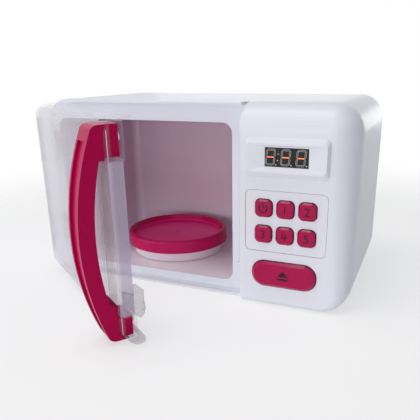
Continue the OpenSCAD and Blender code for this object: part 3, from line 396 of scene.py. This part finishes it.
WHITE = plastic("case_white", (0.765, 0.785, 0.845), (0.745, 0.765, 0.83), 0.36, specular=0.3)
PANEL_WHITE = plastic("panel_white", (0.775, 0.78, 0.835), (0.755, 0.76, 0.82), 0.42, specular=0.3)
# Mauve tone: the liner's white plastic painted with shade and a painted pink reflection of the plate. The pale
# colour after it is painted light.
OVEN_GREY = oven_plastic("oven_grey", (0.62, 0.455, 0.57), (0.58, 0.425, 0.535),
                         (0.94, 0.86, 0.92), 0.36, 0.4)
CLEAR = door_plastic("clear_door", (0.57, 0.55, 0.615), 0.03, 0.64, 0.10)
CLEAR_HOOK = clear_plastic("clear_hook", (0.47, 0.45, 0.53), 0.28, 0.80, 0.12)
FROSTED = plastic("milky_ring", (0.80, 0.71, 0.775), (0.77, 0.68, 0.745), 0.4, subsurface=0.3)
CRIMSON = plastic("crimson", (0.42, 0.001, 0.064), (0.39, 0.001, 0.057), 0.24, specular=0.07)
# The third colour is painted shade at the foot of the caps, for the shadow in the gaps round them.
KEY_CRIMSON = key_plastic("key_crimson", (0.42, 0.001, 0.070), (0.39, 0.001, 0.063),
                          (0.12, 0.0, 0.028), 0.14, 0.25)
# The third colour is painted light on the floor of the plate's dish.
DISC_CRIMSON = disc_plastic("plate_crimson", (0.50, 0.002, 0.095), (0.47, 0.002, 0.088),
                            (0.95, 0.014, 0.25), 0.26, 0.20)
BLACK = plastic("window_black", (0.010, 0.010, 0.014), (0.007, 0.007, 0.010), 0.14, specular=0.3)
FOOT = plastic("foot_rubber", (0.05, 0.05, 0.055), (0.04, 0.04, 0.045), 0.75)
MAT = plastic("key_mat", (0.20, 0.20, 0.22), (0.17, 0.17, 0.19), 0.7)
BELT = plastic("belt_rubber", (0.012, 0.012, 0.012), (0.008, 0.008, 0.008), 0.7)
STEEL = metal("screw_steel", (0.55, 0.56, 0.58), 0.32)
CAN = metal("motor_can", (0.48, 0.49, 0.51), 0.38)
BRASS = metal("contact_spring", (0.70, 0.62, 0.40), 0.3)
CELL = plastic("cell_sleeve", (0.08, 0.085, 0.10), (0.07, 0.075, 0.09), 0.35)
BOARD = plastic("board_green", (0.012, 0.11, 0.04), (0.01, 0.09, 0.03), 0.4)
CONE = plastic("speaker_black", (0.015, 0.015, 0.018), (0.01, 0.01, 0.012), 0.6)
LENS = plastic("lamp_lens", (0.85, 0.82, 0.70), (0.82, 0.79, 0.67), 0.3, subsurface=0.3)
PRINT = plastic("key_print", (0.035, 0.004, 0.022), (0.028, 0.003, 0.018), 0.5, specular=0.25)
DIGIT_LINE = plastic("digit_outline", (0.50, 0.46, 0.45), (0.42, 0.38, 0.37), 0.5)
DIGIT_DARK = plastic("digit_unlit", (0.030, 0.008, 0.006), (0.022, 0.006, 0.005), 0.35)
DIGIT_LIT = glowing("digit_lit", (1.0, 0.20, 0.06), 1.2)

SLOTS = {
    "case_white": WHITE, "panel_white": PANEL_WHITE, "oven_grey": OVEN_GREY,
    "clear_plastic": CLEAR, "frosted": FROSTED, "crimson": CRIMSON, "window_black": BLACK,
    "foot_rubber": FOOT, "soft_grey": MAT, "belt_rubber": BELT, "screw_steel": STEEL,
    "motor_steel": CAN, "contact_brass": BRASS, "cell_grey": CELL, "board_green": BOARD,
    "speaker_black": CONE, "lamp_white": LENS,
}
OWN_FINISH = {"turntable_plate": DISC_CRIMSON, "latch_hook": CLEAR_HOOK, "open_button": KEY_CRIMSON}
OWN_FINISH.update(("key_%d" % number, KEY_CRIMSON) for number in range(1, 7))
for node, entry in SUBPARTS.items():
    finishes = NODES[node].data.materials
    finishes.clear()
    finishes.append(OWN_FINISH.get(node, SLOTS[entry["material_slot"]]))


# Printed and lit marks, each a thin layer on the front face of the piece that carries it

PRINT_T = 0.08 * MM
SINK = 0.03 * MM
WELD = 1e-7

# Numbers of the display: shares of its window, and of a number for the point and the colon
NUMBER_W, NUMBER_H, NUMBER_PITCH, NUMBER_LEFT = 0.165, 0.62, 0.315, 0.02
POINT_OUT, COLON_UP = 0.78, 0.22
NUMBER_LEAN = 0.09
BAR_W, BAR_GAP, BAR_RIM, POINT_R = 1.15 * MM, 0.25 * MM, 0.5 * MM, 0.5 * MM

# Signs of the keys and the button: shares of the key's width or height
POWER_RING, POWER_LINE, POWER_GAP = 0.19, 0.065, math.radians(35)
KEY_NUMBER_H, KEY_NUMBER_FAT = 0.6, 0.03 * MM
FOUR_H = 0.42
SIGN_H = 0.14


def front_of(node):
    """Middle of a node's front face, with the node's width and height."""
    low, high = (Vector(corner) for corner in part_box(node))
    middle, size = (low + high) / 2, high - low
    return (middle.x, low.y, middle.z), size.x, size.z


def weld(build):
    bmesh.ops.remove_doubles(build, verts=build.verts, dist=WELD)


def add_piece(name, build, body, material):
    """Finish a bmesh as a closed piece with its faces outward, carried by the named body."""
    bmesh.ops.recalc_face_normals(build, faces=build.faces)
    mesh = bpy.data.meshes.new(name)
    build.to_mesh(mesh)
    build.free()
    piece = bpy.data.objects.new(name, mesh)
    piece.data.materials.append(material)
    bpy.context.scene.collection.objects.link(piece)
    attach(piece, body)
    return piece


def layer(outline, place, thick, build=None):
    """Flat plate from an outline across and up, standing off the front face at place by thick."""
    build = build or bmesh.new()
    verts = [build.verts.new((place[0] + x, place[1] + SINK, place[2] + z)) for x, z in outline]
    face = build.faces.new(verts)
    raised = bmesh.ops.extrude_face_region(build, geom=[face])["geom"]
    moved = [v for v in raised if isinstance(v, bmesh.types.BMVert)]
    bmesh.ops.translate(build, vec=(0, -thick - SINK, 0), verts=moved)
    return build


def strip(left, right, low, high):
    """Outline of an upright rectangle."""
    return [(left, low), (right, low), (right, high), (left, high)]


def segment(length, width, centre, upright):
    """Six-sided outline of one bar of a number block."""
    half, side = length / 2, width / 2
    bar = [(-half, 0), (-half + side, side), (half - side, side), (half, 0),
           (half - side, -side), (-half + side, -side)]
    if upright:
        bar = [(-z, x) for x, z in bar]
    return [(centre[0] + x, centre[1] + z) for x, z in bar]


def dot(centre, sides=16):
    """Outline of a point or of half a colon."""
    turn = 2 * math.pi / sides
    return [(centre[0] + POINT_R * math.cos(i * turn), centre[1] + POINT_R * math.sin(i * turn))
            for i in range(sides)]


def lean(outline):
    return [(x + z * NUMBER_LEAN, z) for x, z in outline]


def number_block():
    """Three leaning seven-bar numbers with their middle bars lit, a colon and three points."""
    (x, y, z), width, height = front_of("display_window")
    number_w, number_h, pitch = NUMBER_W * width, NUMBER_H * height, NUMBER_PITCH * width
    middle = x - NUMBER_LEFT * width
    bars = [((0, s * number_h / 2), False) for s in (-1, 0, 1)]
    bars += [((sx * number_w / 2, sz * number_h / 4), True) for sx in (-1, 1) for sz in (-1, 1)]
    rim, dark, lit = bmesh.new(), bmesh.new(), bmesh.new()
    for i in (-1, 0, 1):
        at = (middle + i * pitch, y, z)
        for centre, upright in bars:
            length = (number_h / 2 if upright else number_w) - BAR_GAP
            core = lean(segment(length - BAR_RIM, BAR_W - BAR_RIM, centre, upright))
            if centre == (0, 0):
                layer(core, at, PRINT_T, lit)
            else:
                layer(lean(segment(length, BAR_W, centre, upright)), at, PRINT_T / 2, rim)
                layer(core, at, PRINT_T, dark)
        layer(lean(dot((POINT_OUT * number_w, -number_h / 2))), at, PRINT_T, rim)
    for s in (-1, 1):
        colon = lean(dot((0, s * COLON_UP * number_h)))
        layer(colon, (middle - pitch / 2, y, z), PRINT_T, rim)
    add_piece("number_bar_outlines", rim, "case", DIGIT_LINE)
    add_piece("number_bars_unlit", dark, "case", DIGIT_DARK)
    add_piece("number_bars_lit", lit, "case", DIGIT_LIT)


def power_sign(node):
    """Open ring with an upright bar."""
    (x, y, z), width, _ = front_of(node)
    ring_r, line = POWER_RING * width, POWER_LINE * width
    build = bmesh.new()
    start = []
    for across, deep in strip(-line / 2, line / 2, -PRINT_T, SINK):
        out = ring_r + across
        start.append(build.verts.new((x + out * math.sin(POWER_GAP), y + deep,
                                      z + out * math.cos(POWER_GAP))))
    cap = build.faces.new(start)
    bmesh.ops.spin(build, geom=[cap, *cap.edges, *cap.verts], cent=(x, y, z), axis=(0, 1, 0),
                   angle=2 * (math.pi - POWER_GAP), steps=28, use_duplicate=False)
    weld(build)
    layer(strip(-line / 2, line / 2, 0, ring_r + line), (x, y, z), PRINT_T, build)
    add_piece("power_sign", build, node, PRINT)


def plain_number(node, number):
    """A printed number, centred on its key."""
    (x, y, z), _, height = front_of(node)
    curve = bpy.data.curves.new("number", "FONT")
    curve.body = number
    curve.size = KEY_NUMBER_H * height
    curve.align_x, curve.align_y = "CENTER", "CENTER"
    curve.extrude = (PRINT_T + SINK) / 2
    curve.offset = KEY_NUMBER_FAT
    writing = bpy.data.objects.new("number", curve)
    bpy.context.scene.collection.objects.link(writing)
    bpy.context.view_layer.update()
    made = writing.evaluated_get(bpy.context.evaluated_depsgraph_get())
    mesh = bpy.data.meshes.new_from_object(made)
    bpy.data.objects.remove(writing)
    build = bmesh.new()
    build.from_mesh(mesh)
    bpy.data.meshes.remove(mesh)
    weld(build)
    xs, ys = [v.co.x for v in build.verts], [v.co.y for v in build.verts]
    middle = Vector(((min(xs) + max(xs)) / 2, (min(ys) + max(ys)) / 2, 0))
    stand = Matrix.Rotation(math.pi / 2, 4, "X")
    on_face = Matrix.Translation((x, y + (SINK - PRINT_T) / 2, z))
    build.transform(on_face @ stand @ Matrix.Translation(-middle))
    add_piece("number_" + number, build, node, PRINT)


def open_four(node):
    """Printed figure four with an open top, centred on its key."""
    place, _, height = front_of(node)
    outline = [(0, 1.5), (2.3, 1.5), (2.3, 0), (3.1, 0), (3.1, 1.5), (3.7, 1.5), (3.7, 2.3),
               (3.1, 2.3), (3.1, 4.2), (2.3, 4.2), (2.3, 2.3), (0.85, 2.3), (1.35, 5.6),
               (0.55, 5.6), (0, 2.1)]
    wide, tall = (max(point[i] for point in outline) for i in (0, 1))
    unit = FOUR_H * height / tall
    centred = [((x - wide / 2) * unit, (z - tall / 2) * unit) for x, z in outline]
    add_piece("number_4", layer(centred, place, PRINT_T), node, PRINT)


def door_sign(node):
    """Triangle over a bar, the usual sign for letting something open."""
    place, _, height = front_of(node)
    unit = SIGN_H * height
    half_w = 1.3 * unit
    build = layer([(-half_w, -0.2 * unit), (half_w, -0.2 * unit), (0, 1.35 * unit)], place, PRINT_T)
    layer(strip(-half_w, half_w, -1.1 * unit, -0.6 * unit), place, PRINT_T, build)
    add_piece("open_sign", build, node, PRINT)


def gate_mark():
    """Small round mark where the plastic entered the mould, in the middle of the plate."""
    plate = NODES["turntable_plate"]
    low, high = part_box("turntable_plate")
    bpy.context.view_layer.update()
    above = ((low[0] + high[0]) / 2, (low[1] + high[1]) / 2, high[2] + MM)
    place = plate.ray_cast(above, (0, 0, -1))[1]
    build = bmesh.new()
    bmesh.ops.create_cone(build, cap_ends=True, segments=24, radius1=1.3 * MM, radius2=0.9 * MM,
                          depth=PRINT_T + SINK)
    rise = Vector((0, 0, (PRINT_T - SINK) / 2))
    bmesh.ops.translate(build, vec=place + rise, verts=build.verts)
    mark = add_piece("gate_mark", build, "turntable", CRIMSON)


# Springs, wound in the room of their solids

STEPS_A_TURN, WIRE_SIDES = 20, 8


def compression_spring(node, joint, bore_r, turns):
    """Wound wire along the joint's axis, filling the room of its solid."""
    low, high = (Vector(corner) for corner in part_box(node))
    way = Vector(JOINTS[joint]["axis"])
    side = Vector(UPWARD)
    length = (high - low).dot(way)
    outer_r = (high - low).z / 2
    wire_r = (outer_r - bore_r) / 2
    first = (low + high) / 2 - way * (length / 2 - wire_r)
    middle = first + side * (outer_r - wire_r)
    steps = turns * STEPS_A_TURN
    build = bmesh.new()
    ring = []
    for i in range(WIRE_SIDES):
        turn = 2 * math.pi * i / WIRE_SIDES
        out = side * math.cos(turn) + way * math.sin(turn)
        ring.append(build.verts.new(middle + wire_r * out))
    end = build.faces.new(ring)
    bmesh.ops.spin(build, geom=[end, *end.edges, *end.verts], cent=first, axis=way,
                   dvec=way * (length - 2 * wire_r) / steps, angle=2 * math.pi * turns,
                   steps=steps, use_duplicate=False)
    weld(build)
    coil = add_piece(node + "_coil", build, "case", STEEL)
    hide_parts(node)
    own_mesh(coil)


gate_mark()
compression_spring("open_spring", "open_press", 2.2 * MM, 3)
compression_spring("latch_spring", "catch_draw", 0.8 * MM, 9)
number_block()
power_sign("key_1")
for key in (2, 3, 4, 6):
    plain_number("key_%d" % key, str(key - 1))
open_four("key_5")
door_sign("open_button")


# Camera, as the photograph was taken

EYE = Vector((0.1737, -0.4028, 0.1713))
YAW, PITCH, ROLL = 0.393, 0.328, -0.011
FOCAL_PX, PHOTO_PX = 495.4, 420
SENSOR_MM = 36

ahead = Vector((-math.sin(YAW) * math.cos(PITCH), math.cos(YAW) * math.cos(PITCH),
                -math.sin(PITCH)))
level = Vector((math.cos(YAW), math.sin(YAW), 0))
rise = level.cross(ahead)
right = math.cos(ROLL) * level + math.sin(ROLL) * rise
up = math.cos(ROLL) * rise - math.sin(ROLL) * level
turn = Matrix((right, up, -ahead)).transposed()
view = bpy.data.cameras.new("photo_view")
view.sensor_width = SENSOR_MM
view.lens = FOCAL_PX / PHOTO_PX * SENSOR_MM
view.shift_x = -0.0350
view.shift_y = 0.0689
view.clip_start = 0.02
view.clip_end = 20
camera = bpy.data.objects.new("photo_camera", view)
camera.matrix_world = Matrix.Translation(EYE) @ turn.to_4x4()
bpy.context.scene.collection.objects.link(camera)
bpy.context.scene.camera = camera


# Floor, lamps and world

FLOOR_FADE = (0.24, 0.62)
FLOOR_SEEN = 0.42
FLOOR_WHITE = (0.93, 0.93, 0.94, 1)
SKY_LIGHT, SKY_SEEN = 0.34, 1.0
SKY_TINT, SKY_WHITE = (0.95, 0.96, 1.0, 1), (1, 1, 1, 1)


def seen_directly(tree):
    """1 for rays from the camera, in a reflection or through clear plastic, 0 for other light."""
    path = tree.nodes.new("ShaderNodeLightPath").outputs
    seen = maths(tree, "ADD", path["Is Camera Ray"], path["Is Glossy Ray"])
    return maths(tree, "ADD", seen, path["Is Transmission Ray"], clamp=True)


def floor_material():
    """Pale floor that keeps the shadow near the object and fades into the white around it."""
    material, tree, shader = new_material("pale_floor")
    shader["Base Color"].default_value = FLOOR_WHITE
    shader["Roughness"].default_value = 0.9
    shader["Specular IOR Level"].default_value = 0.1
    far = vector_maths(tree, "LENGTH", surface_point(tree))["Value"]
    fade = ranged(tree, far, old=FLOOR_FADE, new=(1, 0), smooth=True)
    thin = ranged(tree, seen_directly(tree), new=(1, FLOOR_SEEN))
    feed(tree, shader["Alpha"], maths(tree, "MULTIPLY", fade, thin))
    return material


def lay_floor():
    mesh = bpy.data.meshes.new("floor")
    build = bmesh.new()
    bmesh.ops.create_grid(build, x_segments=1, y_segments=1, size=1)
    build.to_mesh(mesh)
    build.free()
    floor = bpy.data.objects.new("floor", mesh)
    floor.data.materials.append(floor_material())
    bpy.context.scene.collection.objects.link(floor)


def lamp(name, place, target, size, power, colour):
    """Soft box at a place, turned to its target."""
    light = bpy.data.lights.new(name, "AREA")
    light.shape = "RECTANGLE"
    light.size, light.size_y = size
    light.energy = power
    light.color = colour
    holder = bpy.data.objects.new(name, light)
    holder.location = place
    facing = Vector(target) - Vector(place)
    holder.rotation_euler = facing.to_track_quat("-Z", "Y").to_euler()
    holder.visible_camera = False
    bpy.context.scene.collection.objects.link(holder)


def studio_world():
    """Even light, and plain white wherever the camera or clear plastic looks past the floor."""
    world = bpy.data.worlds.new("studio")
    world.use_nodes = True
    tree = world.node_tree
    sky = tree.nodes["Background"].inputs
    shown = seen_directly(tree)
    feed(tree, sky["Strength"], ranged(tree, shown, new=(SKY_LIGHT, SKY_SEEN)))
    feed(tree, sky["Color"], blended(tree, shown, SKY_TINT, SKY_WHITE))
    return world


lay_floor()
lamp("overhead", (-0.14, -0.22, 1.1), (0, 0, 0), (0.5, 0.5), 4.0, (1.0, 0.99, 1.0))
lamp("front_left", (-1.0, -0.95, 0.40), (0, 0, 0.06), (0.8, 0.6), 4.5, (0.97, 0.98, 1.0))
lamp("front_low", (0.0, -0.95, 0.14), (0, 0, 0.04), (0.9, 0.25), 2.9, (1.0, 0.98, 1.0))
lamp("behind", (-0.15, 1.1, 0.12), (0, 0, 0.07), (1.0, 0.2), 3.4, (0.98, 0.99, 1.0))
bpy.context.scene.world = studio_world()
bpy.context.scene.view_settings.view_transform = "Standard"
